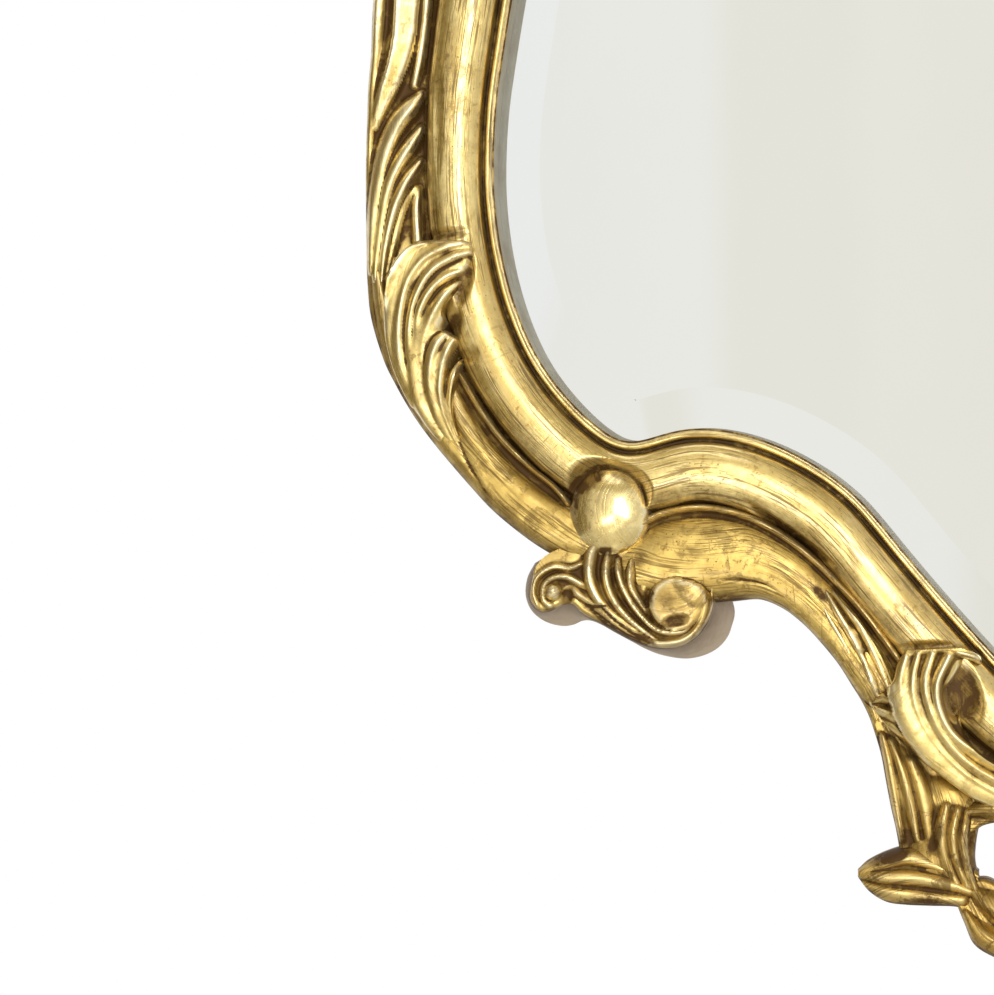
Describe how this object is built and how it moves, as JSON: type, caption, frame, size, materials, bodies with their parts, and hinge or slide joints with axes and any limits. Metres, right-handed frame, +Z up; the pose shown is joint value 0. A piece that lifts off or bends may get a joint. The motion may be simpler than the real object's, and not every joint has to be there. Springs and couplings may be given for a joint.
{
  "type": "gilt wall mirror",
  "caption": "Carved and gilded wall mirror with a cartouche outline, bevelled glass, pierced apron and crest, turn buttons and swinging strap hangers.",
  "frame": {"origin": "wall side of the upper bumper, on the centre line of the mirror; the plane y = 0 is the wall", "axes": "+X to the viewer's right, +Y into the wall, +Z up; the mirror faces -Y"},
  "size_m": [0.6684, 0.053, 1.0907],
  "materials": {
    "gilt_wood": "water gilded gold leaf over red bole, burnished and rubbed",
    "member_wood": "carved softwood, side walls painted beige and bronze",
    "mirror_glass": "silvered glass with a polished bevel",
    "board": "raw, age darkened",
    "bedding": "black felt strip",
    "tenon_wood": "raw beech",
    "brass": "aged brass",
    "hanger_steel": "zinc plated steel",
    "rubber": "matt"
  },
  "bodies": {
    "frame": {"backing_board": "board", "bedding_strip": "bedding", "bottom_apron": "gilt_wood", "bottom_rail": "member_wood", "bottom_rail_band": "gilt_wood", "corner_tenons": "tenon_wood", "hanger_screws": "hanger_steel", "hanger_straps": "hanger_steel", "left_stile": "member_wood", "left_stile_band": "gilt_wood", "lower_left_base_leaf": "gilt_wood", "lower_left_base_scroll": "gilt_wood", "lower_left_boss": "gilt_wood", "lower_left_clasp": "gilt_wood", "lower_left_fluted_leaf": "gilt_wood", "lower_left_side_leaf": "gilt_wood", "lower_left_side_scroll": "gilt_wood", "lower_left_turnover_leaf": "gilt_wood", "lower_right_base_leaf": "gilt_wood", "lower_right_base_scroll": "gilt_wood", "lower_right_boss": "gilt_wood", "lower_right_clasp": "gilt_wood", "lower_right_fluted_leaf": "gilt_wood", "lower_right_side_leaf": "gilt_wood", "lower_right_side_scroll": "gilt_wood", "lower_right_turnover_leaf": "gilt_wood", "mirror_glass": "mirror_glass", "right_stile": "member_wood", "right_stile_band": "gilt_wood", "top_crest": "gilt_wood", "top_rail": "member_wood", "top_rail_band": "gilt_wood", "turn_button_screws": "brass", "upper_left_base_leaf": "gilt_wood", "upper_left_base_scroll": "gilt_wood", "upper_left_boss": "gilt_wood", "upper_left_clasp": "gilt_wood", "upper_left_fluted_leaf": "gilt_wood", "upper_left_side_leaf": "gilt_wood", "upper_left_side_scroll": "gilt_wood", "upper_left_turnover_leaf": "gilt_wood", "upper_right_base_leaf": "gilt_wood", "upper_right_base_scroll": "gilt_wood", "upper_right_boss": "gilt_wood", "upper_right_clasp": "gilt_wood", "upper_right_fluted_leaf": "gilt_wood", "upper_right_side_leaf": "gilt_wood", "upper_right_side_scroll": "gilt_wood", "upper_right_turnover_leaf": "gilt_wood", "wall_bumpers": "rubber"},
    "left_hanger_ring": {"left_hanger_ring": "hanger_steel"},
    "right_hanger_ring": {"right_hanger_ring": "hanger_steel"},
    "turn_button_bottom": {"turn_button_bottom": "brass"},
    "turn_button_lower_left": {"turn_button_lower_left": "brass"},
    "turn_button_lower_right": {"turn_button_lower_right": "brass"},
    "turn_button_top": {"turn_button_top": "brass"},
    "turn_button_upper_left": {"turn_button_upper_left": "brass"},
    "turn_button_upper_right": {"turn_button_upper_right": "brass"}
  },
  "joints": [
    {"name": "turn_button_lower_left_turn", "type": "hinge", "parent": "frame", "child": "turn_button_lower_left", "pos_m": [-0.29421, -0.0068, -0.59813], "axis": [0, 1, 0], "range_deg": [-90, 90]},
    {"name": "turn_button_lower_right_turn", "type": "hinge", "parent": "frame", "child": "turn_button_lower_right", "pos_m": [0.29421, -0.0068, -0.59813], "axis": [0, 1, 0], "range_deg": [-90, 90]},
    {"name": "turn_button_upper_left_turn", "type": "hinge", "parent": "frame", "child": "turn_button_upper_left", "pos_m": [-0.29421, -0.0068, -0.26787], "axis": [0, 1, 0], "range_deg": [-90, 90]},
    {"name": "turn_button_upper_right_turn", "type": "hinge", "parent": "frame", "child": "turn_button_upper_right", "pos_m": [0.29421, -0.0068, -0.26787], "axis": [0, 1, 0], "range_deg": [-90, 90]},
    {"name": "turn_button_bottom_turn", "type": "hinge", "parent": "frame", "child": "turn_button_bottom", "pos_m": [0, -0.0068, -0.849], "axis": [0, 1, 0], "range_deg": [-90, 90]},
    {"name": "turn_button_top_turn", "type": "hinge", "parent": "frame", "child": "turn_button_top", "pos_m": [0, -0.0068, -0.017], "axis": [0, 1, 0], "range_deg": [-90, 90]},
    {"name": "left_ring_swing", "type": "hinge", "parent": "frame", "child": "left_hanger_ring", "pos_m": [-0.30232, -0.0041, -0.33631], "axis": [1, 0, 0], "range_deg": [0, 175]},
    {"name": "right_ring_swing", "type": "hinge", "parent": "frame", "child": "right_hanger_ring", "pos_m": [0.30232, -0.0041, -0.33631], "axis": [1, 0, 0], "range_deg": [0, 175]}
  ]
}
